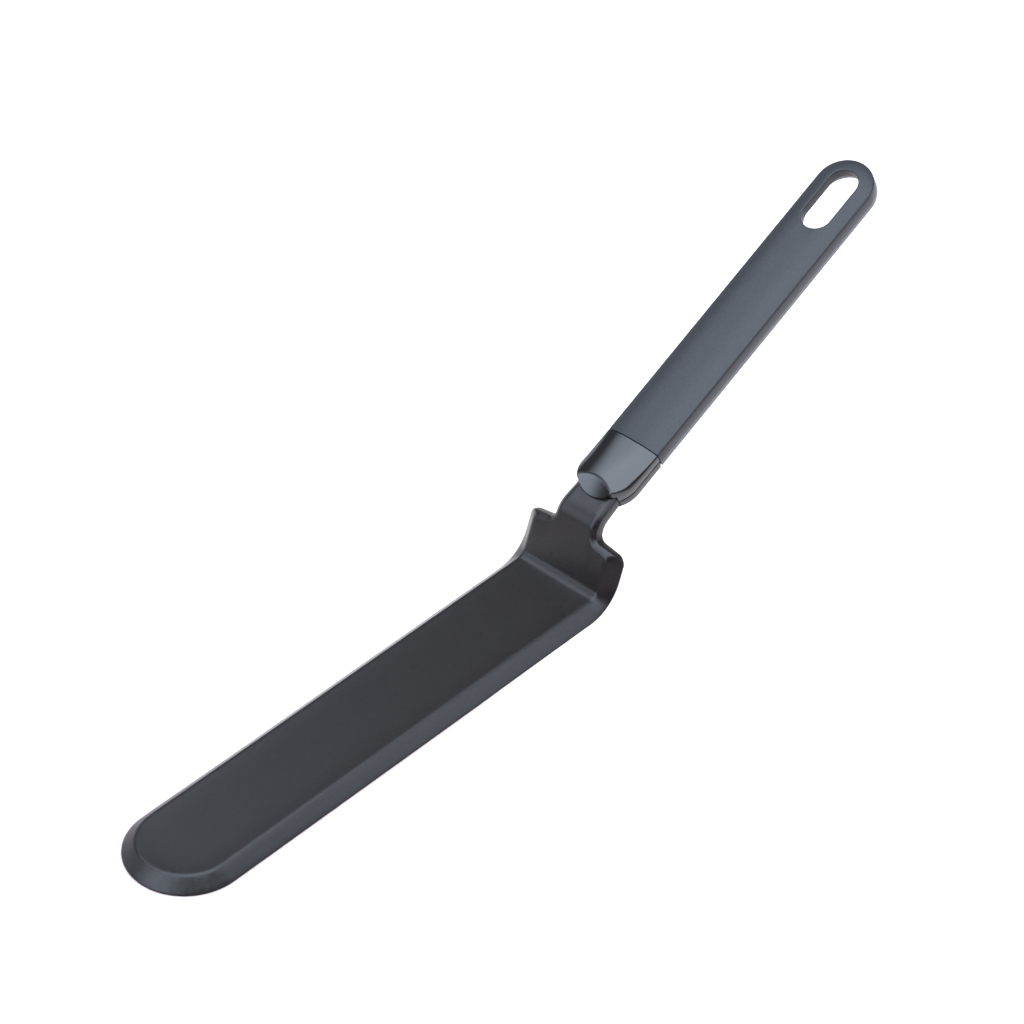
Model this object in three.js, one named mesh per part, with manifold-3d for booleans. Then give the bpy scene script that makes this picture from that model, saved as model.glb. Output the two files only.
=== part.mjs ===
import * as THREE from 'three';
import { mergeVertices } from 'three/addons/utils/BufferGeometryUtils.js';
import Module from 'manifold-3d';

const wasm = await Module();
wasm.setup();

// Pancake turner lying on its blade, tip towards -X, handle rising towards +X. Millimetres, degrees.

// Blade: flat, with a half-round tip and a sloping border on its top all the way round.
const BLADE_LENGTH = 199.4;
const BLADE_WIDTH = 43.4;
const PLATE = 5.1;
const BORDER_WIDTH = 4.6;
const EDGE_LAND = 0.6;

// Heel: turns up from the blade, with a tight crease on top and a wide sweep underneath.
const HEEL_ANGLE = 69;
const CREASE_RADIUS = 3.5;
const SWEEP_RADIUS = 16;

// Shoulders and neck: the heel steps in to a narrow neck with a small edge bevel.
const SHOULDER_RISE = 14.1;
const SHOULDER_SLOPE = 8;
const SHOULDER_RADIUS = 3.4;
const SHOULDER_INNER_RADIUS = 1.6;
const NOTCH_RADIUS = 2.4;
const KNEE_RISE = 8.7;
const NECK_WIDTH = 19;
const NECK_END_WIDTH = 17.2;
const NECK_BEVEL = 1.6;
const NECK_BEVEL_DEPTH = 1.4;
const KNEE_RADIUS = 10;
const KNEE_TO_NOSE = 7.5;
const NECK_IN_FERRULE = 5;

// Tang: the thinner continuation of the neck inside the handle.
const TANG_WIDTH = 15;
const TANG_STEP = 0.85;
const TANG_BEVEL = 0.4;
const TANG_CORNER = 3;
const TANG_TO_SLOT = 6;

// Handle: a slim bar with half-round ends, crowned above and below.
const HANDLE_ANGLE = 25.1;
const HANDLE_WIDTH = 22.8;
const FERRULE_LENGTH = 24.6;
const GRIP_LENGTH = 132.6;
const FERRULE_SEAM = 3.2;
const GRIP_SEAM = 3.9;
const CROWN = 1.8;
const CROWN_POWER = 3.2;
const BELLY_POWER = 2;
const EDGE_ROUND = 0.5;
const NECK_TOP_DEPTH = 0.4;
const NECK_FLOOR = 1;
const SHELL = 1.6;

// Ferrule nose: the crown swells to a round dome towards the neck and is dished at the front for the thumb.
const NOSE_SWELL = 2.4;
const NOSE_SWELL_LENGTH = 19;
const NOSE_POWER = 2;
const NOSE_FULLNESS = 0.5;
const DISH_RADIUS = 70;
const DISH_ANGLE = 33;
const DISH_LIP = 0.5;

// Hanging slot near the end of the grip. Below its top plate it widens to a relief with a sleeve round it.
const SLOT_LENGTH = 26.4;
const SLOT_WIDTH = 11.5;
const SLOT_TO_END = 5.4;
const SLOT_PLATE = 2.2;
const RELIEF_LENGTH = 28.5;
const RELIEF_WIDTH = 17.6;
const RELIEF_SLEEVE = 2;

// Pegs on the lower halves press into bosses on the upper halves, through holes in the tang.
const PEG_DIAMETER = 4;
const BOSS_DIAMETER = 7;
const PEG_DEPTH = 1.5;
const NOSE_PEG_TO_SEAM = 9;
const FRONT_PEG_TO_SEAM = 24;
const REAR_PEG_TO_TANG_END = 20.8;

// Clearances.
const PART_GAP = 0.3;
const PEG_GAP = 0.3;
const LOWER_SEAM_GAP = 0.8;

// Finishes.
const NYLON = { color: 0x3c3d42, roughness: 0.55, metalness: 0 };
const GLOSS = { color: 0x2a2c31, roughness: 0.12, metalness: 0 };
const MATTE = { color: 0x4a4e55, roughness: 0.5, metalness: 0 };

// Steps along curves.
const TIP_STEPS = 16;
const BEND_STEPS = 7;
const KNEE_STEPS = 14;
const CORNER_STEPS = 6;
const END_STEPS = 12;
const SWELL_STEPS = 6;
const CROWN_STEPS = 10;
const ROUND_STEPS = 28;
const DISH_STEPS = 240;

// Points closer than this are one point, and cutting blocks reach out this far.
const SAME_POINT = 1e-4;
const FAR = 400;

const rad = THREE.MathUtils.degToRad;
const point = (x, z) => new THREE.Vector2(x, z);
const along = (angle) => point(Math.cos(rad(angle)), Math.sin(rad(angle)));
const above = (angle) => point(-Math.sin(rad(angle)), Math.cos(rad(angle)));

// A closed skin over rings of equal length. A ring that shrinks to a line needs no cap.
function skin(rings) {
  const count = rings[0].length;
  const index = [];
  for (let a = 0; a < (rings.length - 1) * count; a += 1) {
    const b = (a + 1) % count === 0 ? a + 1 - count : a + 1;
    index.push(a, a + count, b, b, a + count, b + count);
  }
  const flat = (ring) => ring.every((p) => Math.abs(p.y) < SAME_POINT);
  const last = (rings.length - 1) * count;
  for (let k = 1; k + 1 < count; k += 1) {
    if (!flat(rings[0])) index.push(0, k, k + 1);
    if (!flat(rings[rings.length - 1])) index.push(last, last + k + 1, last + k);
  }
  const geometry = new THREE.BufferGeometry().setFromPoints(rings.flat());
  geometry.setIndex(index);
  return geometry;
}

function solid(geometry) {
  const bare = geometry.clone();
  bare.deleteAttribute('normal');
  bare.deleteAttribute('uv');
  const merged = mergeVertices(bare, SAME_POINT);
  const triangles = [];
  const ids = merged.index.array;
  for (let k = 0; k < ids.length; k += 3) {
    const [a, b, c] = [ids[k], ids[k + 1], ids[k + 2]];
    if (a !== b && b !== c && c !== a) triangles.push(a, b, c);
  }
  return new wasm.Manifold(new wasm.Mesh({
    numProp: 3,
    vertProperties: new Float32Array(merged.attributes.position.array),
    triVerts: new Uint32Array(triangles),
  }));
}

function part(name, body, finish, frame) {
  const mesh = body.getMesh();
  const geometry = new THREE.BufferGeometry();
  geometry.setAttribute('position', new THREE.BufferAttribute(new Float32Array(mesh.vertProperties), 3));
  geometry.setIndex(new THREE.BufferAttribute(new Uint32Array(mesh.triVerts), 1));
  if (frame) geometry.applyMatrix4(frame);
  const node = new THREE.Mesh(geometry, new THREE.MeshStandardMaterial(finish));
  node.name = name;
  return node;
}

// Side view of the blade moulding: matching stretches of its top and its underside, tip to tang.
const turn = Math.tan(rad(HEEL_ANGLE / 2));
const lead = (SWEEP_RADIUS - PLATE - CREASE_RADIUS) * turn;
const heelRise = SHOULDER_RISE + KNEE_RISE;
const kneeTurn = KNEE_RADIUS * Math.tan(rad((HEEL_ANGLE - HANDLE_ANGLE) / 2));
const heelFoot = point(0, PLATE + CREASE_RADIUS).addScaledVector(above(HEEL_ANGLE), -CREASE_RADIUS);
const heelMid = heelFoot.clone().addScaledVector(along(HEEL_ANGLE), lead);
const kneeStart = heelFoot.clone().addScaledVector(along(HEEL_ANGLE), heelRise - kneeTurn);
const kneeCorner = heelFoot.clone().addScaledVector(along(HEEL_ANGLE), heelRise);
const kneeEnd = kneeCorner.clone().addScaledVector(along(HANDLE_ANGLE), kneeTurn);
const kneeCentre = kneeStart.clone().addScaledVector(above(HEEL_ANGLE), -KNEE_RADIUS);
const noseOnNeck = kneeCorner.clone().addScaledVector(along(HANDLE_ANGLE), KNEE_TO_NOSE);
const slotStart = GRIP_LENGTH - SLOT_TO_END - SLOT_LENGTH;
const tangLength = FERRULE_LENGTH + slotStart - RELIEF_SLEEVE - TANG_TO_SLOT;
const tangEnd = noseOnNeck.clone().addScaledVector(along(HANDLE_ANGLE), tangLength);
const under = (p, angle) => p.clone().addScaledVector(above(angle), -PLATE);
const line = (a, b) => new THREE.LineCurve(a, b);
const hill = (c, r, from, to) => {
  return new THREE.EllipseCurve(c.x, c.y, r, r, rad(from + 90), rad(to + 90), true);
};
const valley = (c, r, from, to) => {
  return new THREE.EllipseCurve(c.x, c.y, r, r, rad(from - 90), rad(to - 90), false);
};
const sweepCentre = point(-lead, SWEEP_RADIUS);
const third = HEEL_ANGLE / 3;
const stages = [
  [line(point(-BLADE_LENGTH, PLATE), point(-lead, PLATE)),
    line(point(-BLADE_LENGTH, 0), point(-lead, 0))],
  [line(point(-lead, PLATE), point(0, PLATE)), valley(sweepCentre, SWEEP_RADIUS, 0, third)],
  [valley(point(0, PLATE + CREASE_RADIUS), CREASE_RADIUS, 0, HEEL_ANGLE),
    valley(sweepCentre, SWEEP_RADIUS, third, 2 * third)],
  [line(heelFoot, heelMid), valley(sweepCentre, SWEEP_RADIUS, 2 * third, HEEL_ANGLE)],
  [line(heelMid, kneeStart), line(under(heelMid, HEEL_ANGLE), under(kneeStart, HEEL_ANGLE))],
  [hill(kneeCentre, KNEE_RADIUS, HEEL_ANGLE, HANDLE_ANGLE),
    hill(kneeCentre, KNEE_RADIUS - PLATE, HEEL_ANGLE, HANDLE_ANGLE)],
  [line(kneeEnd, tangEnd), line(under(kneeEnd, HANDLE_ANGLE), under(tangEnd, HANDLE_ANGLE))],
].map(([top, bottom]) => ({ top, bottom, length: top.getLength() }));
const starts = stages.map((_, k) => {
  return stages.slice(0, k).reduce((sum, stage) => sum + stage.length, -BLADE_LENGTH);
});
const [, sweepAt, creaseAt, heelAt, riserAt, kneeAt, neckAt] = starts;
const profileLength = neckAt + stages[stages.length - 1].length;

function profile(u) {
  let k = stages.length - 1;
  while (k > 0 && u < starts[k]) k -= 1;
  const share = (u - starts[k]) / stages[k].length;
  return { top: stages[k].top.getPoint(share), bottom: stages[k].bottom.getPoint(share) };
}

// Plan of the blade moulding, laid out flat: sections of outer edge, inner edge and upright wall.
const half = BLADE_WIDTH / 2;
const sections = [];
function section(outer, inner, wall, step = 0) {
  sections.push({ outer, inner, wall, step });
}
for (let k = 0; k <= TIP_STEPS; k += 1) {
  const swing = (Math.PI / 2) * (k / TIP_STEPS);
  const ray = point(-Math.cos(swing), Math.sin(swing));
  const centre = point(half - BLADE_LENGTH, 0);
  const inner = centre.clone().addScaledVector(ray, half - BORDER_WIDTH);
  section(centre.addScaledVector(ray, half), inner, EDGE_LAND);
}
const shoulder = heelAt + SHOULDER_RISE;
const slope = Math.tan(rad(SHOULDER_SLOPE));
const drop = NECK_BEVEL / Math.cos(rad(SHOULDER_SLOPE));
const shoulderAt = (y) => shoulder + (half - y) * slope;
const innerHalf = half - BORDER_WIDTH;
function stations(from, to, steps) {
  return Array.from({ length: steps }, (_, k) => from + ((to - from) * (k + 1)) / steps);
}
const sideStations = [
  sweepAt,
  ...stations(sweepAt, creaseAt, BEND_STEPS),
  ...stations(creaseAt, heelAt, BEND_STEPS),
  ...stations(heelAt, riserAt, BEND_STEPS),
];
sideStations.forEach((u) => section(point(u, half), point(u, innerHalf), EDGE_LAND));

// A rounded corner between two straight edges, as a curve from one edge to the other.
function corner(at, before, after) {
  return new THREE.QuadraticBezierCurve(before, at, after);
}
const shoulderOuter = corner(
  point(shoulder, half),
  point(shoulder - SHOULDER_RADIUS, half),
  point(shoulderAt(half - SHOULDER_RADIUS), half - SHOULDER_RADIUS),
);
const innerTop = (y) => shoulderAt(y) - drop;
const shoulderInner = corner(
  point(innerTop(innerHalf), innerHalf),
  point(innerTop(innerHalf) - SHOULDER_INNER_RADIUS, innerHalf),
  point(innerTop(innerHalf - SHOULDER_INNER_RADIUS), innerHalf - SHOULDER_INNER_RADIUS),
);
const neckWall = PLATE - NECK_BEVEL_DEPTH;
for (let k = 0; k <= CORNER_STEPS; k += 1) {
  const t = k / CORNER_STEPS;
  const wall = THREE.MathUtils.lerp(EDGE_LAND, neckWall, THREE.MathUtils.smoothstep(t, 0, 1));
  section(shoulderOuter.getPoint(t), shoulderInner.getPoint(t), wall);
}
const neckHalf = NECK_WIDTH / 2;
const neckInner = neckHalf - NECK_BEVEL;
const notchInner = NOTCH_RADIUS + NECK_BEVEL;
const notchOuterCurve = corner(
  point(shoulderAt(neckHalf), neckHalf),
  point(shoulderAt(neckHalf + NOTCH_RADIUS), neckHalf + NOTCH_RADIUS),
  point(shoulderAt(neckHalf) + NOTCH_RADIUS, neckHalf),
);
const notchInnerCurve = corner(
  point(innerTop(neckInner), neckInner),
  point(innerTop(neckInner + notchInner), neckInner + notchInner),
  point(innerTop(neckInner) + notchInner, neckInner),
);
for (let k = 0; k <= CORNER_STEPS; k += 1) {
  const t = k / CORNER_STEPS;
  section(notchOuterCurve.getPoint(t), notchInnerCurve.getPoint(t), neckWall);
}
const noseStation = neckAt + KNEE_TO_NOSE - kneeTurn;
const stepStation = noseStation + NECK_IN_FERRULE;
const neckStart = shoulderAt(neckHalf) + NOTCH_RADIUS;
function neckHalfAt(u) {
  const share = (u - neckStart) / (stepStation - neckStart);
  return THREE.MathUtils.lerp(NECK_WIDTH, NECK_END_WIDTH, share) / 2;
}
[...stations(kneeAt, neckAt, KNEE_STEPS), noseStation, stepStation]
  .filter((u) => u > neckStart)
  .forEach((u) => section(point(u, neckHalfAt(u)), point(u, neckHalfAt(u) - NECK_BEVEL), neckWall));
const tangHalf = TANG_WIDTH / 2;
const tangWall = PLATE - TANG_STEP - TANG_BEVEL;
const tangCurve = corner(
  point(profileLength, tangHalf),
  point(profileLength - TANG_CORNER, tangHalf),
  point(profileLength, tangHalf - TANG_CORNER),
);
section(point(stepStation, tangHalf), point(stepStation, tangHalf - TANG_BEVEL), tangWall, TANG_STEP);
for (let k = 0; k <= CORNER_STEPS; k += 1) {
  const p = tangCurve.getPoint(k / CORNER_STEPS);
  section(p, point(p.x, p.y - TANG_BEVEL), tangWall, TANG_STEP);
}
const headRings = sections.map(({ outer, inner, wall, step }) => {
  const edge = profile(outer.x);
  const face = profile(inner.x);
  const rise = edge.top.clone().sub(edge.bottom).normalize();
  const faceRise = face.top.clone().sub(face.bottom).normalize();
  const low = edge.bottom.clone().addScaledVector(rise, step);
  const mid = edge.bottom.clone().addScaledVector(rise, wall);
  const high = face.top.clone().addScaledVector(faceRise, -step);
  const at = (p, y) => new THREE.Vector3(p.x, y, p.y);
  return [
    at(low, -outer.y), at(mid, -outer.y), at(high, -inner.y),
    at(high, inner.y), at(mid, outer.y), at(low, outer.y),
  ];
});

// Handle frame: X along the handle from the ferrule's back end, Z out of the handle's top.
const handleStart = noseOnNeck.clone().addScaledVector(along(HANDLE_ANGLE), FERRULE_LENGTH);
handleStart.addScaledVector(above(HANDLE_ANGLE), NECK_TOP_DEPTH);
const handleFrame = new THREE.Matrix4().makeRotationY(-rad(HANDLE_ANGLE));
handleFrame.setPosition(handleStart.x, 0, handleStart.y);

const handleHalf = HANDLE_WIDTH / 2;
const wallHeight = NECK_TOP_DEPTH + PLATE + NECK_FLOOR;
const rearCentre = GRIP_LENGTH - handleHalf;
const noseCentre = handleHalf - FERRULE_LENGTH;

// Height of the crowned top over its side edges. It swells to a dome at the nose and falls off at the end.
function crown(s, y) {
  const swell = THREE.MathUtils.smoothstep(-s, 0, NOSE_SWELL_LENGTH);
  const reach = Math.min(1, Math.hypot(Math.max(0, s - rearCentre), y) / handleHalf);
  const power = THREE.MathUtils.lerp(CROWN_POWER, NOSE_POWER, swell);
  const fullness = THREE.MathUtils.lerp(1, NOSE_FULLNESS, swell);
  return (CROWN + NOSE_SWELL * swell) * (1 - reach ** power) ** fullness;
}
function belly(s, y) {
  const out = Math.max(0, s - rearCentre, noseCentre - s);
  const reach = Math.hypot(out, y) / handleHalf;
  return -wallHeight - CROWN * (1 - Math.min(1, reach) ** BELLY_POWER);
}

// The handle's outer form, or the hollow inside it at a given depth below the surface.
function handleForm(inset) {
  const radius = handleHalf - inset;
  const stops = [];
  for (let k = 0; k <= END_STEPS; k += 1) {
    const swing = (Math.PI / 2) * (k / END_STEPS);
    stops.push([noseCentre - radius * Math.cos(swing), radius * Math.sin(swing)]);
  }
  stations(noseCentre, 0, SWELL_STEPS).forEach((s) => stops.push([s, radius]));
  for (let k = 0; k <= END_STEPS; k += 1) {
    const swing = (Math.PI / 2) * (1 - k / END_STEPS);
    stops.push([rearCentre + radius * Math.cos(swing), radius * Math.sin(swing)]);
  }
  return solid(skin(stops.map(([s, y]) => {
    const edge = Math.min(EDGE_ROUND, y / 2);
    const across = [edge - y, ...stations(edge - y, y - edge, CROWN_STEPS)];
    const scale = (v) => (v * handleHalf) / radius;
    const top = (v) => crown(s, scale(v)) - inset;
    const bottom = (v) => belly(s, scale(v)) + inset;
    const at = (v, n) => new THREE.Vector3(s, v, n);
    return [
      at(-y, bottom(y) + EDGE_ROUND), at(-y, top(y) - EDGE_ROUND),
      ...across.map((v) => at(v, top(v))),
      at(y, top(y) - EDGE_ROUND), at(y, bottom(y) + EDGE_ROUND),
      ...across.map((v) => at(-v, bottom(v))),
    ];
  })));
}

// A block between two stations and two heights of the handle, as wide as given.
function block(s0, s1, n0, n1, width = FAR) {
  const box = new THREE.BoxGeometry(s1 - s0, width, n1 - n0);
  return solid(box.translate((s0 + s1) / 2, 0, (n0 + n1) / 2));
}
function post(s, diameter, n0, n1) {
  const rod = new THREE.CylinderGeometry(diameter / 2, diameter / 2, n1 - n0, ROUND_STEPS);
  return rod.rotateX(Math.PI / 2).translate(s, 0, (n0 + n1) / 2);
}
function slotForm(length, width, margin = 0) {
  const front = slotStart + width / 2;
  const back = slotStart + length - width / 2;
  const plan = new THREE.Shape();
  plan.absarc(front, 0, width / 2 + margin, Math.PI / 2, (3 * Math.PI) / 2);
  plan.absarc(back, 0, width / 2 + margin, -Math.PI / 2, Math.PI / 2);
  const options = { depth: FAR, bevelEnabled: false, curveSegments: ROUND_STEPS / 2 };
  return solid(new THREE.ExtrudeGeometry(plan, options).translate(0, 0, -FAR / 2));
}

const outerForm = handleForm(0);
const relief = slotForm(RELIEF_LENGTH, RELIEF_WIDTH).intersect(block(-FAR, FAR, -FAR, -SLOT_PLATE));
const slot = slotForm(SLOT_LENGTH, SLOT_WIDTH).add(relief);
const hollow = handleForm(SHELL)
  .intersect(block(SHELL, FAR, -FAR, FAR))
  .subtract(slotForm(RELIEF_LENGTH, RELIEF_WIDTH, RELIEF_SLEEVE));
const tangTop = -NECK_TOP_DEPTH - TANG_STEP;
const tangBottom = -NECK_TOP_DEPTH - PLATE + TANG_STEP;
const tangStop = tangLength - FERRULE_LENGTH;
const tangWay = block(
  -FERRULE_LENGTH, tangStop + PART_GAP,
  tangBottom - PART_GAP, tangTop + PART_GAP, TANG_WIDTH + 2 * PART_GAP,
);
const neckWayWidth = 2 * (neckHalfAt(noseStation) + PART_GAP);
const neckWay = block(
  -FAR, NECK_IN_FERRULE - FERRULE_LENGTH + PART_GAP,
  -NECK_TOP_DEPTH - PLATE - PART_GAP, -NECK_TOP_DEPTH + PART_GAP, neckWayWidth,
);
const upperHalf = (seam) => block(-FAR, FAR, PART_GAP / 2 - seam, FAR);
const lowerHalf = (seam) => block(-FAR, FAR, -FAR, -PART_GAP / 2 - seam);
const ferruleEnd = (gap) => block(-FAR, PART_GAP / 2 - gap, -FAR, FAR);
const gripEnd = block(PART_GAP / 2, FAR, -FAR, FAR);

// Dish in the nose: a wide round gouge that comes up from the neck at a slant.
const dishRod = new THREE.CylinderGeometry(DISH_RADIUS, DISH_RADIUS, FAR, DISH_STEPS);
dishRod.rotateZ(Math.PI / 2).translate(0, 0, DISH_RADIUS).rotateY(-rad(DISH_ANGLE));
const dish = solid(dishRod.translate(-FERRULE_LENGTH, 0, DISH_LIP - NECK_TOP_DEPTH));

const pegSpots = [
  [-NOSE_PEG_TO_SEAM, FERRULE_SEAM],
  [FRONT_PEG_TO_SEAM, GRIP_SEAM],
  [tangStop - REAR_PEG_TO_TANG_END, GRIP_SEAM],
];
const bosses = pegSpots.map(([s]) => {
  return solid(post(s, BOSS_DIAMETER, -FAR / 2, FAR / 2)).intersect(outerForm);
});
const sockets = pegSpots.map(([s, seam]) => {
  const bore = PEG_DIAMETER + 2 * PEG_GAP;
  return solid(post(s, bore, -PART_GAP / 2 - seam, PEG_DEPTH + PEG_GAP - seam));
});
const pegs = pegSpots.map(([s, seam]) => {
  return solid(post(s, PEG_DIAMETER, -PART_GAP / 2 - seam - PEG_DEPTH, PEG_DEPTH - seam));
});
const [noseBoss, ...gripBosses] = bosses;
const [noseSocket, ...gripSockets] = sockets;
const [nosePeg, ...gripPegs] = pegs;
const join = (first, rest) => rest.reduce((sum, body) => sum.add(body), first);
const cut = (first, rest) => rest.reduce((left, body) => left.subtract(body), first);

const ferruleForm = outerForm.subtract(tangWay).subtract(neckWay).add(noseBoss);
const gripShell = outerForm.subtract(hollow).subtract(slot).subtract(tangWay);
const gripForm = join(gripShell, gripBosses).intersect(gripEnd);

const ferruleUpper = ferruleForm
  .intersect(ferruleEnd(PART_GAP))
  .intersect(upperHalf(FERRULE_SEAM))
  .subtract(dish)
  .subtract(noseSocket);
const ferruleLower = ferruleForm
  .intersect(ferruleEnd(LOWER_SEAM_GAP))
  .intersect(lowerHalf(FERRULE_SEAM))
  .add(nosePeg);
const gripUpper = cut(gripForm.intersect(upperHalf(GRIP_SEAM)), gripSockets);
const gripLower = join(gripForm.intersect(lowerHalf(GRIP_SEAM)), gripPegs);

const tangHoles = pegSpots.map(([s]) => {
  const hole = post(s, BOSS_DIAMETER + 2 * PART_GAP, -NECK_TOP_DEPTH - PLATE, 0);
  return solid(hole.applyMatrix4(handleFrame));
});
const head = cut(solid(skin(headRings)), tangHoles);

const turner = new THREE.Group();
turner.name = 'pancake_spatula';
turner.add(part('blade', head, NYLON));
turner.add(part('ferrule_upper', ferruleUpper, GLOSS, handleFrame));
turner.add(part('ferrule_lower', ferruleLower, GLOSS, handleFrame));
turner.add(part('grip_upper', gripUpper, MATTE, handleFrame));
turner.add(part('grip_lower', gripLower, MATTE, handleFrame));

// Origin on the surface that the blade lies on, in the middle of the length.
const extent = new THREE.Box3().setFromObject(turner);
const middle = (extent.min.x + extent.max.x) / 2;
turner.children.forEach((node) => node.geometry.translate(-middle, 0, -extent.min.z));

export default turner;
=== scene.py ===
import math

import bmesh
import bpy
from mathutils import Matrix, Vector


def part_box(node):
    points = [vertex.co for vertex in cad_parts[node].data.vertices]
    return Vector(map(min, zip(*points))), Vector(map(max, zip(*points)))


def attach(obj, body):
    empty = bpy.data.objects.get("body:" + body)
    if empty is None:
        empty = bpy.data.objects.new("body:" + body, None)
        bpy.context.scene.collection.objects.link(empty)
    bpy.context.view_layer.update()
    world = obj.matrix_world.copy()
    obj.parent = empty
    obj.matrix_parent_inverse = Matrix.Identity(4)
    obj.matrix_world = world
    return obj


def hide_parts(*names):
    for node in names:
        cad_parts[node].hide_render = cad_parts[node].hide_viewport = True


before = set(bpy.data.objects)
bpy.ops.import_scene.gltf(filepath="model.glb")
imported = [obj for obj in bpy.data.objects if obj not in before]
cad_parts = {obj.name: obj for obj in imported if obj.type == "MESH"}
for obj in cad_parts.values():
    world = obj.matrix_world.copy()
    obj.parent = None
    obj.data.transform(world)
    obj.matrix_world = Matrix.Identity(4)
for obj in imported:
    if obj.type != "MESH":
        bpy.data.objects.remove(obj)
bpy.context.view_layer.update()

# Blade: one nylon moulding, from the round tip over the heel and the neck to the tang inside the handle.
# It is moulded flat-bottomed, with a sloping border round its top and a step in to the neck.
# The tang lies between the handle's halves and is held there by their pegs. Sizes are millimetres.
BLADE_LENGTH = 199.4
BLADE_WIDTH = 43.4
PLATE = 5.1
BORDER_WIDTH = 4.6
EDGE_LAND = 0.6
HEEL_ANGLE = math.radians(69)
CREASE_RADIUS = 3.5
SWEEP_RADIUS = 16
SHOULDER_RISE = 14.1
SHOULDER_SLOPE = math.radians(8)
SHOULDER_RADIUS = 3.4
SHOULDER_INNER_RADIUS = 1.6
SHOULDER_RAMP = 10
NOTCH_RADIUS = 2.4
NECK_WIDTH = 19
NECK_END_WIDTH = 17.2
NECK_BEVEL = 1.6
NECK_BEVEL_DEPTH = 1.4
KNEE_RISE = 8.7
KNEE_RADIUS = 10
KNEE_TO_NOSE = 7.5
NECK_IN_FERRULE = 5
TANG_WIDTH = 15
TANG_STEP = 0.85
TANG_RAMP = 0.5
TANG_CORNER = 3
TANG_LENGTH = 117.4
HANDLE_ANGLE = math.radians(25.1)
DECK_SINK = 0.3
DECK_SINK_POWER = 4
DECK_CELL = 1.5
BORDER_SOFTNESS = 0.7
RIM_SOFTNESS = 0.15
CORNER_STEPS = 24
BEND_STEPS = 12
SOFT_STEPS = 3
SAME_POINT = 1e-4
SHARP_ANGLE = math.radians(40)
MM = 0.001

knee_angle = HEEL_ANGLE - HANDLE_ANGLE
knee_turn = KNEE_RADIUS * math.tan(knee_angle / 2)
lead = (SWEEP_RADIUS - PLATE - CREASE_RADIUS) * math.tan(HEEL_ANGLE / 2)
riser = SHOULDER_RISE + KNEE_RISE - knee_turn - lead
tail = KNEE_TO_NOSE - knee_turn + TANG_LENGTH

# The side view as two walks, along the top and along the underside: each step is a length and a turn.
# The heel is three steps of both, since the crease on top lies between two straight leads.
sweep_turn = HEEL_ANGLE / 3
flat_step = (BLADE_LENGTH - lead, 0)
lead_step = (lead, 0)
crease_step = (CREASE_RADIUS * HEEL_ANGLE, HEEL_ANGLE)
sweep_step = (SWEEP_RADIUS * sweep_turn, sweep_turn)
riser_step = (riser, 0)
knee_top_step = (KNEE_RADIUS * knee_angle, -knee_angle)
knee_low_step = ((KNEE_RADIUS - PLATE) * knee_angle, -knee_angle)
tail_step = (tail, 0)
top_walk = [flat_step, lead_step, crease_step, lead_step, riser_step, knee_top_step, tail_step]
low_walk = [flat_step, sweep_step, sweep_step, sweep_step, riser_step, knee_low_step, tail_step]
starts = [sum(length for length, _ in top_walk[:k]) - BLADE_LENGTH for k in range(len(top_walk))]
sweep_at, crease_at, heel_at, riser_at, knee_at, neck_at = starts[1:]
tang_end = neck_at + tail


def walked(walk, height, station):
    """The point of a walk that belongs to a station along the top."""
    stage = max(k for k, start in enumerate(starts) if k == 0 or station >= start)
    at, heading = Vector((-BLADE_LENGTH, height)), 0
    for k, (length, turn) in enumerate(walk[:stage + 1]):
        share = (station - starts[k]) / top_walk[k][0] if k == stage else 1
        bow = turn * share / 2
        chord = length * share * (math.sin(bow) / bow if bow else 1)
        at += chord * Vector((math.cos(heading + bow), math.sin(heading + bow)))
        heading += 2 * bow
    return at


def rounded_face(bm, corners):
    """A flat face over corners given as x, y and how far the rounding cuts back each corner's edges."""
    others = set(bm.faces)
    verts = [bm.verts.new((x, y, 0)) for x, y, _ in corners]
    bm.faces.new(verts)
    for vert, (_, _, cut) in zip(verts, corners):
        if cut:
            bmesh.ops.bevel(bm, geom=[vert], offset=cut, segments=CORNER_STEPS, profile=0.5,
                            affect="VERTICES", material=-1, clamp_overlap=False)
    bmesh.ops.remove_doubles(bm, verts=bm.verts[:], dist=SAME_POINT)
    return (set(bm.faces) - others).pop()


def soften(bm, edges, size):
    """Rounds edges off by a small bevel."""
    bmesh.ops.bevel(bm, geom=edges, offset=size, segments=SOFT_STEPS, profile=0.5,
                    affect="EDGES", material=-1, clamp_overlap=True)


def spread(low, high, step):
    """Places between two ends, about a step apart, with the ends left out."""
    count = max(1, round((high - low) / step))
    return [low + (high - low) * k / count for k in range(1, count)]


def slice_across(bm, normal, places):
    """Cuts the whole mesh square to a direction at each of the places along it."""
    for place in places:
        geom = bm.verts[:] + bm.edges[:] + bm.faces[:]
        bmesh.ops.bisect_plane(bm, geom=geom, dist=SAME_POINT, plane_co=normal * place, plane_no=normal)


def both_sides(corners):
    """Corners of one side, with those of the other side after them in reverse."""
    return corners + [(x, -y, cut) for x, y, cut in reversed(corners)]


def ease(share):
    """Runs smoothly from 0 to 1."""
    share = min(1, max(0, share))
    return share * share * (3 - 2 * share)


half = BLADE_WIDTH / 2
inner = half - BORDER_WIDTH
shoulder = heel_at + SHOULDER_RISE
nose_at = neck_at + KNEE_TO_NOSE - knee_turn
step_at = nose_at + NECK_IN_FERRULE
neck, neck_end, tang = NECK_WIDTH / 2, NECK_END_WIDTH / 2, TANG_WIDTH / 2
inner_neck, inner_tang = neck - NECK_BEVEL, tang - NECK_BEVEL
bevel_drop = NECK_BEVEL / math.cos(SHOULDER_SLOPE)


def shoulder_at(y):
    """The station that the sloping shoulder reaches at a distance from the middle."""
    return shoulder + (half - y) * math.tan(SHOULDER_SLOPE)


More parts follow.
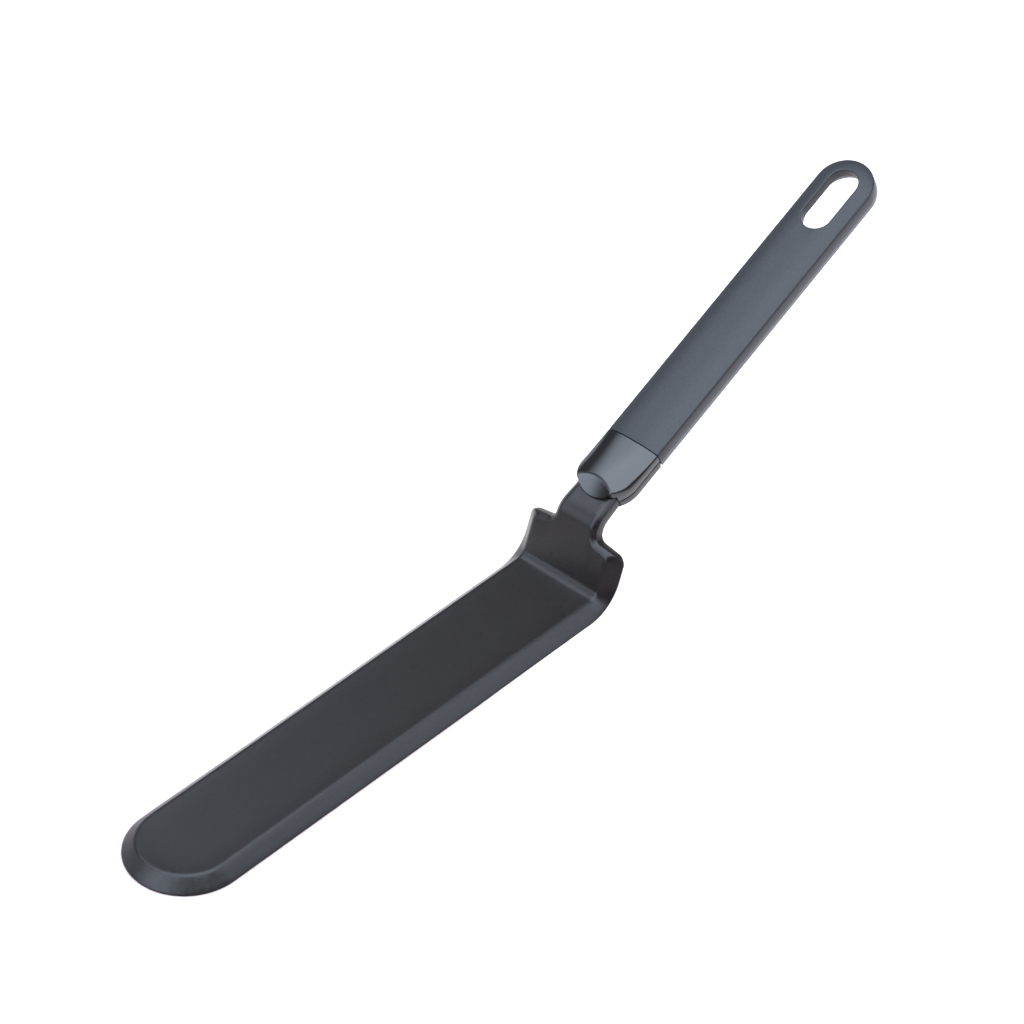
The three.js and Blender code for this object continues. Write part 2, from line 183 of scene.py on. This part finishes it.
outer_corners = both_sides([
    (-BLADE_LENGTH, half, half),
    (shoulder, half, SHOULDER_RADIUS),
    (shoulder_at(neck), neck, NOTCH_RADIUS),
    (step_at, neck_end, 0),
    (step_at + TANG_RAMP, tang, 0),
    (tang_end, tang, TANG_CORNER),
])
inner_corners = both_sides([
    (BORDER_WIDTH - BLADE_LENGTH, inner, inner),
    (shoulder_at(inner) - bevel_drop, inner, SHOULDER_INNER_RADIUS),
    (shoulder_at(inner_neck) - bevel_drop, inner_neck, NOTCH_RADIUS + NECK_BEVEL),
    (step_at, neck_end - NECK_BEVEL, 0),
    (step_at + TANG_RAMP, inner_tang, 0),
    (tang_end, inner_tang, TANG_CORNER),
])

# The moulding is built unrolled: an underside, a low wall, the border up to the deck. The wall climbs
# at the shoulders to the neck's slimmer bevel.
bm = bmesh.new()
base = rounded_face(bm, outer_corners)
base_edges = base.edges[:]
wall = bmesh.ops.extrude_edge_only(bm, edges=base_edges)["geom"]
rim_edges = [part for part in wall if isinstance(part, bmesh.types.BMEdge) and part.is_boundary]
for vert in {vert for edge in rim_edges for vert in edge.verts}:
    round_corner = vert.co.x - shoulder + SHOULDER_RADIUS + half - abs(vert.co.y)
    climb = ease(round_corner / SHOULDER_RAMP) if vert.co.x > heel_at else 0
    vert.co.z = EDGE_LAND + climb * (PLATE - NECK_BEVEL_DEPTH - EDGE_LAND)
deck = rounded_face(bm, inner_corners)
bmesh.ops.translate(bm, verts=deck.verts[:], vec=(0, 0, PLATE))
deck_edges = deck.edges[:]
bmesh.ops.bridge_loops(bm, edges=rim_edges + deck_edges)
bmesh.ops.recalc_face_normals(bm, faces=bm.faces[:])
soften(bm, deck_edges, BORDER_SOFTNESS)
soften(bm, [edge for edge in base_edges + rim_edges if edge.is_valid], RIM_SOFTNESS)

# It is then cut into cells, hollowed a little along the deck, thinned at the tang and bent along the walks.
tip_centre = half - BLADE_LENGTH
bends = [
    spread(sweep_at, crease_at, lead / BEND_STEPS),
    spread(crease_at, heel_at, CREASE_RADIUS / BEND_STEPS),
    spread(heel_at, riser_at, lead / BEND_STEPS),
    spread(knee_at, neck_at, KNEE_RADIUS / BEND_STEPS),
    spread(-BLADE_LENGTH, tip_centre, DECK_CELL),
]
slice_across(bm, Vector((1, 0, 0)), starts[1:] + sum(bends, []))
slice_across(bm, Vector((0, 1, 0)), spread(-half, half, DECK_CELL))
for vert in bm.verts:
    x, y, z = vert.co
    room = inner + (inner_neck - inner) * ease((x - heel_at) / SHOULDER_RISE)
    reach = min(1, math.hypot(max(0, tip_centre - x), y) / room)
    hollow = (1 - reach ** DECK_SINK_POWER) * (1 - ease((x - nose_at) / NECK_IN_FERRULE))
    sink = DECK_SINK * room / inner * hollow
    thin = TANG_STEP / PLATE * min(1, max(0, (x - step_at) / TANG_RAMP))
    top, low = walked(top_walk, PLATE, x), walked(low_walk, 0, x)
    at = low.lerp(top, thin + (1 - 2 * thin - sink / PLATE) * z / PLATE)
    vert.co = (at.x, y, at.y)
bmesh.ops.recalc_face_normals(bm, faces=bm.faces[:])
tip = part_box("blade")[0].x
to_frame = Matrix.Translation((tip + BLADE_LENGTH * MM, 0, 0)) @ Matrix.Scale(MM, 4)


def finished(name, bm, placing):
    """Puts a mesh where it belongs, as an object with soft and sharp edges."""
    bm.transform(placing)
    mesh = bpy.data.meshes.new(name)
    bm.to_mesh(mesh)
    bm.free()
    mesh.shade_smooth()
    mesh.set_sharp_from_angle(angle=SHARP_ANGLE)
    piece = bpy.data.objects.new(name, mesh)
    bpy.context.scene.collection.objects.link(piece)
    return piece


def linear(code):
    """The linear colour of an sRGB hex code."""
    parts = [int(code[k:k + 2], 16) / 255 for k in (1, 3, 5)]
    return [c / 12.92 if c <= 0.04045 else ((c + 0.055) / 1.055) ** 2.4 for c in parts] + [1]


def add_node(tree, kind, inputs, **settings):
    """Adds a node, with its settings, and gives each named input a value or a link."""
    made = tree.nodes.new(kind)
    for name, value in settings.items():
        setattr(made, name, value)
    for name, value in inputs.items():
        if isinstance(value, bpy.types.NodeSocket):
            tree.links.new(value, made.inputs[name])
        else:
            made.inputs[name].default_value = value
    return made


SPECKLE_DETAIL = 3
GRAIN_DETAIL = 2


def plastic(name, dark, light, roughness, speckle, grain, relief, ior, specular):
    """A moulded plastic: speckled colour, and a grain that varies its gloss and stands out by a relief.

    The speckle, the grain and the relief are sizes in millimetres."""
    material = bpy.data.materials.new(name)
    material.use_nodes = True
    tree = material.node_tree
    tree.nodes.clear()
    place = add_node(tree, "ShaderNodeTexCoord", {}).outputs["Object"]
    flecks = add_node(tree, "ShaderNodeTexNoise", {
        "Vector": place, "Scale": 1 / (speckle * MM), "Detail": SPECKLE_DETAIL}).outputs["Fac"]
    skin = add_node(tree, "ShaderNodeTexNoise", {
        "Vector": place, "Scale": 1 / (grain * MM), "Detail": GRAIN_DETAIL}).outputs["Fac"]
    tint = add_node(tree, "ShaderNodeMix", {
        "Factor": flecks, "A": linear(dark), "B": linear(light)}, data_type="RGBA")
    dullness = add_node(tree, "ShaderNodeMapRange", {
        "Value": skin, "To Min": roughness[0], "To Max": roughness[1]})
    bump = add_node(tree, "ShaderNodeBump", {"Height": skin, "Strength": 1, "Distance": relief * MM})
    shader = add_node(tree, "ShaderNodeBsdfPrincipled", {
        "Base Color": tint.outputs["Result"], "Roughness": dullness.outputs["Result"],
        "Normal": bump.outputs["Normal"], "IOR": ior, "Specular IOR Level": specular})
    add_node(tree, "ShaderNodeOutputMaterial", {"Surface": shader.outputs["BSDF"]})
    return material


# Nylon from a spark-eroded tool has a dull, even sheen, which turns to a soft glow on the sloping border.
# Its pits are about 0.1 mm across. They are drawn at 0.4 mm, and their flecks at 0.9 mm, so that they show.
nylon = plastic("moulded nylon, spark-eroded grain", dark="#020101", light="#191313",
                roughness=(0.28, 0.42), speckle=0.9, grain=0.4, relief=0.046, ior=1.53, specular=0.3)
blade = finished("blade_moulding", bm, to_frame)
blade.data.materials.append(nylon)
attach(blade, "root")
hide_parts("blade")

# Ferrule: two glossy covers over the front of the handle, moulded in polypropylene in a polished tool.
# The upper one swells towards the nose, where a dish is gouged into it for the thumb.
# The lower one is plain and bellied. They close round the neck and are pegged to each other.
HANDLE_WIDTH = 22.8
FERRULE_LENGTH = 24.6
GRIP_LENGTH = 132.6
FERRULE_SEAM = 3.2
FERRULE_GAP = 0.45
LOWER_SEAM_GAP = 0.8
CROWN = 1.8
CROWN_POWER = 3.2
BELLY_POWER = 2
EDGE_ROUND = 0.5
NECK_TOP_DEPTH = 0.4
NECK_FLOOR = 1
NOSE_SWELL = 2.4
NOSE_SWELL_LENGTH = 19
NOSE_POWER = 2
NOSE_FULLNESS = 0.5
DISH_RADIUS = 70
DISH_ANGLE = math.radians(33)
DISH_LIP = 0.5
CREST_SOFTNESS = 0.5
PART_GAP = 0.3
SEAM_SOFTNESS = 0.1
SEAM_SLIT = 0.1
GROOVE_DEPTH = 1
FERRULE_CELL = 0.35

bar = HANDLE_WIDTH / 2
wall_height = NECK_TOP_DEPTH + PLATE + NECK_FLOOR
rear_centre = GRIP_LENGTH - bar
nose_centre = bar - FERRULE_LENGTH

# The handle is built level, from where the ferrule meets the grip, and then turned up onto the neck.
handle_start = walked(top_walk, PLATE, nose_at + FERRULE_LENGTH)
handle_start += NECK_TOP_DEPTH * Vector((-math.sin(HANDLE_ANGLE), math.cos(HANDLE_ANGLE)))
on_handle = (to_frame @ Matrix.Translation((handle_start.x, 0, handle_start.y))
             @ Matrix.Rotation(-HANDLE_ANGLE, 4, "Y"))


def crown(s, y):
    """Height of the handle's top over its side edges."""
    swell = ease(-s / NOSE_SWELL_LENGTH)
    reach = min(1, math.hypot(max(0, s - rear_centre), y) / bar)
    power = CROWN_POWER + (NOSE_POWER - CROWN_POWER) * swell
    fullness = 1 + (NOSE_FULLNESS - 1) * swell
    return (CROWN + NOSE_SWELL * swell) * (1 - reach ** power) ** fullness


def belly(s, y):
    """How far the handle's underside hangs below its side edges, as a negative height."""
    reach = min(1, math.hypot(max(0, s - rear_centre, nose_centre - s), y) / bar)
    return -CROWN * (1 - reach ** BELLY_POWER)


def dish(s, y):
    """Height of the gouge that comes up from the neck at a slant."""
    side = DISH_RADIUS - math.sqrt(DISH_RADIUS ** 2 - y * y)
    return (DISH_LIP - NECK_TOP_DEPTH + (s + FERRULE_LENGTH) * math.tan(DISH_ANGLE)
            + side / math.cos(DISH_ANGLE))


def lower_of(a, b, softness):
    """The lower of two heights, rounded where they cross."""
    return min(a, b) - max(0, softness - abs(a - b)) ** 2 / (4 * softness)


def handle_half(corners, seam, edge, end, lengthways, crosswise, skin):
    """Half a plan of the handle pulled out from the seam, rounded, raised to its skin and mirrored."""
    bm = bmesh.new()
    plan = rounded_face(bm, corners)
    bmesh.ops.translate(bm, verts=plan.verts[:], vec=(0, 0, seam))
    pulled = bmesh.ops.extrude_face_region(bm, geom=[plan])["geom"]
    face = [part for part in pulled if isinstance(part, bmesh.types.BMFace)][0]
    bmesh.ops.translate(bm, verts=face.verts[:], vec=(0, 0, edge - seam))
    bmesh.ops.recalc_face_normals(bm, faces=bm.faces[:])

    def outside(part):
        return any(abs(vert.co.y) > SAME_POINT for vert in part.verts)

    def at_end(part):
        return all(abs(vert.co.x - end) < SAME_POINT for vert in part.verts)

    def at_seam(part):
        return all(abs(vert.co.z - seam) < SAME_POINT for vert in part.verts)

    soften(bm, [e for e in face.edges if outside(e) and not at_end(e)], EDGE_ROUND)
    soften(bm, [e for e in bm.edges if outside(e) and (at_end(e) or at_seam(e))], SEAM_SOFTNESS)
    slice_across(bm, Vector((1, 0, 0)), lengthways)
    slice_across(bm, Vector((0, 1, 0)), crosswise)
    for vert in bm.verts:
        if abs(vert.co.z - seam) > abs(edge - seam) - EDGE_ROUND - SAME_POINT:
            vert.co.z = skin(vert.co)
    bmesh.ops.delete(bm, geom=[f for f in bm.faces if not outside(f)], context="FACES")
    bmesh.ops.mirror(bm, geom=bm.verts[:] + bm.edges[:] + bm.faces[:], axis="Y", merge_dist=SAME_POINT)
    bmesh.ops.remove_doubles(bm, verts=bm.verts[:], dist=SAME_POINT)
    bmesh.ops.recalc_face_normals(bm, faces=bm.faces[:])
    return bm


def carved(bm, ways):
    """The mesh with ways cut through it, each given as corners of its plan, a low and a high end."""
    piece = finished("uncut", bm, Matrix.Identity(4))
    for corners, low, high in ways:
        block = bmesh.new()
        plan = rounded_face(block, both_sides(corners))
        bmesh.ops.translate(block, verts=plan.verts[:], vec=(0, 0, low))
        pulled = bmesh.ops.extrude_face_region(block, geom=[plan])["geom"]
        lifted = [part for part in pulled if isinstance(part, bmesh.types.BMVert)]
        bmesh.ops.translate(block, verts=lifted, vec=(0, 0, high - low))
        bmesh.ops.recalc_face_normals(block, faces=block.faces[:])
        cutter = finished("way", block, Matrix.Identity(4))
        cut = piece.modifiers.new("way", "BOOLEAN")
        cut.operation = "DIFFERENCE"
        cut.solver = "EXACT"
        cut.object = cutter
        shaped = piece.evaluated_get(bpy.context.evaluated_depsgraph_get())
        result = bpy.data.meshes.new_from_object(shaped)
        piece.modifiers.clear()
        piece.data = result
        bpy.data.objects.remove(cutter)
    result = piece.data
    bpy.data.objects.remove(piece)
    bm = bmesh.new()
    bm.from_mesh(result)
    bpy.data.meshes.remove(result)
    return bm


# The ways for the neck and the tang run through both halves, with room round the moulding.
neck_from = shoulder_at(neck)
neck_side = neck + (neck_end - neck) * (nose_at - neck_from) / (step_at - neck_from) + SEAM_SLIT
neck_stop = NECK_IN_FERRULE - FERRULE_LENGTH + PART_GAP
neck_way = ([(-2 * FERRULE_LENGTH, neck_side, 0), (neck_stop, neck_side, 0)],
            -NECK_TOP_DEPTH - PLATE - PART_GAP, PART_GAP - NECK_TOP_DEPTH)
tang_side = tang + PART_GAP
tang_stop = TANG_LENGTH - FERRULE_LENGTH + PART_GAP
tang_way = ([(-FERRULE_LENGTH, tang_side, 0), (tang_stop, tang_side, 0)],
            TANG_STEP - NECK_TOP_DEPTH - PLATE - PART_GAP, PART_GAP - NECK_TOP_DEPTH - TANG_STEP)


def ferrule_half(gap, seam, edge, skin):
    """Half of the ferrule, which ends a gap short of the grip."""
    end = PART_GAP / 2 - gap
    corners = [(end, 0, 0), (end, bar, 0), (-FERRULE_LENGTH, bar, bar), (-FERRULE_LENGTH, 0, 0)]
    return handle_half(corners, seam, edge, end, spread(-FERRULE_LENGTH, end, FERRULE_CELL),
                       spread(0, bar, FERRULE_CELL), skin)


upper_cover = ferrule_half(
    PART_GAP, FERRULE_GAP / 2 - FERRULE_SEAM, 0,
    lambda at: lower_of(at.z + crown(at.x, at.y), dish(at.x, at.y), CREST_SOFTNESS))
lower_cover = ferrule_half(
    SEAM_SLIT, -FERRULE_GAP / 2 - FERRULE_SEAM, -wall_height,
    lambda at: at.z + belly(at.x, at.y))

# A groove round the sides of the lower cover shows as a dark seam before the grip.
groove_from = PART_GAP / 2 - LOWER_SEAM_GAP
groove_floor, groove_mouth = bar - GROOVE_DEPTH, bar + GROOVE_DEPTH
groove_way = ([(FERRULE_LENGTH, groove_floor, 0), (groove_from, groove_floor, 0),
               (groove_from, groove_mouth, 0), (2 * FERRULE_LENGTH, groove_mouth, 0)],
              -2 * wall_height, -FERRULE_SEAM)

# Polypropylene from a polished tool gives clear reflections with firm edges, and next to no grain.
# What is left of the tool's polishing marks is drawn coarser than it is, as a faint waviness.
polished = plastic("moulded polypropylene, polished", dark="#121111", light="#151414",
                   roughness=(0.13, 0.18), speckle=12, grain=0.8, relief=0.002, ior=1.49, specular=0.56)
for side, half_mesh, ways in (("upper", upper_cover, (neck_way, tang_way)),
                              ("lower", lower_cover, (neck_way, tang_way, groove_way))):
    cover = finished("ferrule_cover_" + side, carved(half_mesh, ways), on_handle)
    cover.data.materials.append(polished)
    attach(cover, "root")
    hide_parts("ferrule_" + side)

# Grip: two halves with a hanging slot, moulded in polypropylene, the upper one in a finely blasted tool.
# They close over the tang with pegs, and their parting line runs round the side and through the slot.
SLOT_LENGTH = 26.4
SLOT_WIDTH = 11.5
SLOT_TO_END = 5.4
SLOT_PLATE = 2.2
RELIEF_LENGTH = 28.5
RELIEF_WIDTH = 17.6
GRIP_SEAM = 3.9
GRIP_GAP = 0.08
GRIP_CELL = 0.6
GRIP_SECTION = 6

grip_start = PART_GAP / 2
slot_start = GRIP_LENGTH - SLOT_TO_END - SLOT_LENGTH
grip_cuts = (spread(grip_start, slot_start, GRIP_SECTION) + spread(slot_start, GRIP_LENGTH, GRIP_CELL),
             spread(0, bar, GRIP_CELL))


def grip_half(length, width, seam, edge, skin):
    """Half of the grip, with a slot of the given length and width."""
    end, side = slot_start + length, width / 2
    corners = [(grip_start, 0, 0), (grip_start, bar, 0), (GRIP_LENGTH, bar, bar), (GRIP_LENGTH, 0, 0),
               (end, 0, 0), (end, side, side), (slot_start, side, side), (slot_start, 0, 0)]
    return handle_half(corners, seam, edge, grip_start, *grip_cuts, skin)


upper_shell = grip_half(SLOT_LENGTH, SLOT_WIDTH, GRIP_GAP / 2 - GRIP_SEAM, 0,
                        lambda at: at.z + crown(at.x, at.y))
lower_shell = grip_half(RELIEF_LENGTH, RELIEF_WIDTH, -GRIP_GAP / 2 - GRIP_SEAM, -wall_height,
                        lambda at: at.z + belly(at.x, at.y))

# Below a thin plate the slot is relieved to a wider opening.
relief = RELIEF_WIDTH / 2
relief_way = ([(slot_start, relief, relief), (slot_start + RELIEF_LENGTH, relief, relief)],
              -wall_height, -SLOT_PLATE)

# Polypropylene from a blasted tool has broad, soft highlights with no image in them.
# Its grain is under 0.1 mm. It is drawn at 0.7 mm, and its flecks at 0.9 mm, so that they show.
satin = plastic("moulded polypropylene, blasted satin", dark="#1d1d1f", light="#2b2b2e",
                roughness=(0.34, 0.5), speckle=0.9, grain=0.7, relief=0.05, ior=1.49, specular=0.3)

# Polypropylene from a smooth tool mirrors the floor, so the lower half shows as a paler band.
smooth = plastic("moulded polypropylene, smooth", dark="#2e353c", light="#31383f",
                 roughness=(0.15, 0.2), speckle=14, grain=0.8, relief=0.002, ior=1.49, specular=0.8)
for side, half_mesh, finish in (("upper", upper_shell, satin), ("lower", lower_shell, smooth)):
    shell = finished("grip_shell_" + side, carved(half_mesh, (tang_way, relief_way)), on_handle)
    shell.data.materials.append(finish)
    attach(shell, "root")
    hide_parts("grip_" + side)

# Studio floor: a wide sheet of opal acrylic, sanded matt, which shows as plain white.
# It carries painted light: it glows in two areas, a wedge that opens from the tip along the tool, and both
# far sides.
# To the right of the tool the painted glow starts further back, so shade shows along the blade. Sizes are
# metres from here on.
FLOOR_REACH = 4
FLOOR_DROP = 0.1 * MM
GLOW_TINT = "#f3faff"
WEDGE_START = -0.18
WEDGE_FULL = -0.14
WEDGE_FLARE = 1.2
WEDGE_GLOW = 1.0
RIGHT_DELAY = 0.15
RIGHT_FROM = -0.03
SIDES_START = 0.15
SIDES_FULL = 0.35
SIDES_GLOW = 0.63

floor_mesh = bmesh.new()
bmesh.ops.create_grid(floor_mesh, x_segments=1, y_segments=1, size=FLOOR_REACH)
bmesh.ops.translate(floor_mesh, verts=floor_mesh.verts[:], vec=(0, 0, -FLOOR_DROP))
floor = finished("floor", floor_mesh, Matrix.Identity(4))

# Sanded acrylic spreads light so well that no lamp shows in it. The sanding is drawn at 1 mm.
sheet = plastic("opal acrylic, painted glow", dark="#b6a5a3", light="#baa9a7",
                roughness=(0.9, 0.95), speckle=30, grain=1, relief=0.01, ior=1.4, specular=0.5)
painted_glow_nodes = sheet.node_tree
place = add_node(painted_glow_nodes, "ShaderNodeTexCoord", {}).outputs["Object"]
spot = add_node(painted_glow_nodes, "ShaderNodeSeparateXYZ", {"Vector": place})
aside = add_node(painted_glow_nodes, "ShaderNodeMath", {0: spot.outputs["Y"]}, operation="ABSOLUTE").outputs[0]
flared = add_node(painted_glow_nodes, "ShaderNodeMath", {0: aside, 1: -WEDGE_FLARE, 2: spot.outputs["X"]},
                  operation="MULTIPLY_ADD").outputs[0]
delay = add_node(painted_glow_nodes, "ShaderNodeMapRange", {
    "Value": spot.outputs["Y"], "From Min": RIGHT_FROM, "From Max": 0,
    "To Min": -RIGHT_DELAY, "To Max": 0}).outputs["Result"]
along = add_node(painted_glow_nodes, "ShaderNodeMath", {0: flared, 1: delay}, operation="ADD").outputs[0]
wedge = add_node(painted_glow_nodes, "ShaderNodeMapRange", {
    "Value": along, "From Min": WEDGE_START, "From Max": WEDGE_FULL,
    "To Min": 0, "To Max": WEDGE_GLOW}).outputs["Result"]
sides = add_node(painted_glow_nodes, "ShaderNodeMapRange", {
    "Value": aside, "From Min": SIDES_START, "From Max": SIDES_FULL,
    "To Min": 0, "To Max": SIDES_GLOW}).outputs["Result"]
glow = add_node(painted_glow_nodes, "ShaderNodeMath", {0: wedge, 1: sides}, operation="MAXIMUM").outputs[0]
# The emission is painted light: the floor glows, though it is no lamp, so the tool's border and walls mirror
# a bright floor.
opal = painted_glow_nodes.nodes["Principled BSDF"]
opal.inputs["Emission Color"].default_value = linear(GLOW_TINT)
painted_glow_nodes.links.new(glow, opal.inputs["Emission Strength"])
floor.data.materials.append(sheet)

# Studio lamps: large softboxes with white cloth fronts, hung level over the tool or stood round it.
# Some dim towards one edge, which gives the crowned faces their gradual shading.
DAYLIGHT = "#e0eeff"
CEILING = 1.0


def softbox(name, centre, facing, size, radiance, fade=None):
    """A flat lamp turned to face a point. A fade is an axis and the shares where dimming starts and ends."""
    lamp = bpy.data.lights.new(name, "AREA")
    lamp.shape = "RECTANGLE"
    lamp.size, lamp.size_y = size
    lamp.color = linear(DAYLIGHT)[:3]
    lamp.energy = radiance * math.pi * size[0] * size[1]
    if fade:
        axis, bright, dark = fade
        lamp.use_nodes = True
        tree = lamp.node_tree
        tree.nodes.clear()
        place = add_node(tree, "ShaderNodeNewGeometry", {}).outputs["Parametric"]
        share = add_node(tree, "ShaderNodeSeparateXYZ", {"Vector": place}).outputs[axis]
        dimmed = add_node(tree, "ShaderNodeMapRange", {
            "Value": share, "From Min": bright, "From Max": dark, "To Min": 1, "To Max": 0},
            interpolation_type="SMOOTHSTEP").outputs["Result"]
        cloth = add_node(tree, "ShaderNodeEmission", {"Strength": dimmed})
        add_node(tree, "ShaderNodeOutputLight", {"Surface": cloth.outputs["Emission"]})
    stand = bpy.data.objects.new(name, lamp)
    stand.location = centre
    stand.rotation_euler = (Vector(facing) - Vector(centre)).to_track_quat("-Z", "Y").to_euler()
    bpy.context.scene.collection.objects.link(stand)


softbox("overhead", centre=(0, 0.1, CEILING), facing=(0, 0.1, 0), size=(1.0, 2.1), radiance=5.84,
        fade=("Y", 0.595, 1))
softbox("rear", centre=(1.0, 0.15, CEILING), facing=(1.0, 0.15, 0), size=(1.0, 1.3), radiance=0.934,
        fade=("Y", 0.6, 1))
softbox("front top", centre=(-0.8, 0.1, CEILING), facing=(-0.8, 0.1, 0), size=(0.6, 1.4), radiance=4.73,
        fade=("Y", 0.7, 1))
softbox("front", centre=(-1.1, 0.335, 0.66), facing=(0, 0.335, 0.66), size=(1.19, 0.68), radiance=5.84,
        fade=("X", 0.252, 0))
softbox("left front", centre=(-1.0, 1.55, CEILING), facing=(-0.1, 0, 0.03), size=(1.0, 0.6), radiance=2.278)
softbox("fill", centre=(0.62, -0.75, 0.62), facing=(0, 0, 0.03), size=(0.6, 0.6), radiance=4.555)
softbox("backdrop", centre=(0.2, 1.8, 0.3), facing=(0.2, 0, 0.3), size=(3.0, 0.6), radiance=1.472)

# The room round the lamps is an even, dim grey.
ROOM = "#737176"
world = bpy.data.worlds.new("studio")
bpy.context.scene.world = world
world.use_nodes = True
world.node_tree.nodes["Background"].inputs["Color"].default_value = linear(ROOM)

# Camera: a long lens from the tip's side, half above the tool, as in the photograph.
# It aims at a point on the floor, which is given from the tip along the tool and to its left.
CAMERA_LENS = 168.0
CAMERA_DISTANCE = 1.7
ELEVATION = math.radians(39.985)
AZIMUTH = math.radians(47.02)
AIM_FROM_TIP = 0.2205
AIM_LEFT = 0.03975

camera_data = bpy.data.cameras.new("camera")
camera_data.lens = CAMERA_LENS
camera = bpy.data.objects.new("camera", camera_data)
level = math.cos(ELEVATION)
looking = Vector((math.sin(AZIMUTH) * level, math.cos(AZIMUTH) * level, -math.sin(ELEVATION)))
camera.location = Vector((tip + AIM_FROM_TIP, AIM_LEFT, 0)) - CAMERA_DISTANCE * looking
camera.rotation_euler = looking.to_track_quat("-Z", "Y").to_euler()
bpy.context.scene.collection.objects.link(camera)
bpy.context.scene.camera = camera
bpy.context.scene.view_settings.view_transform = "Standard"
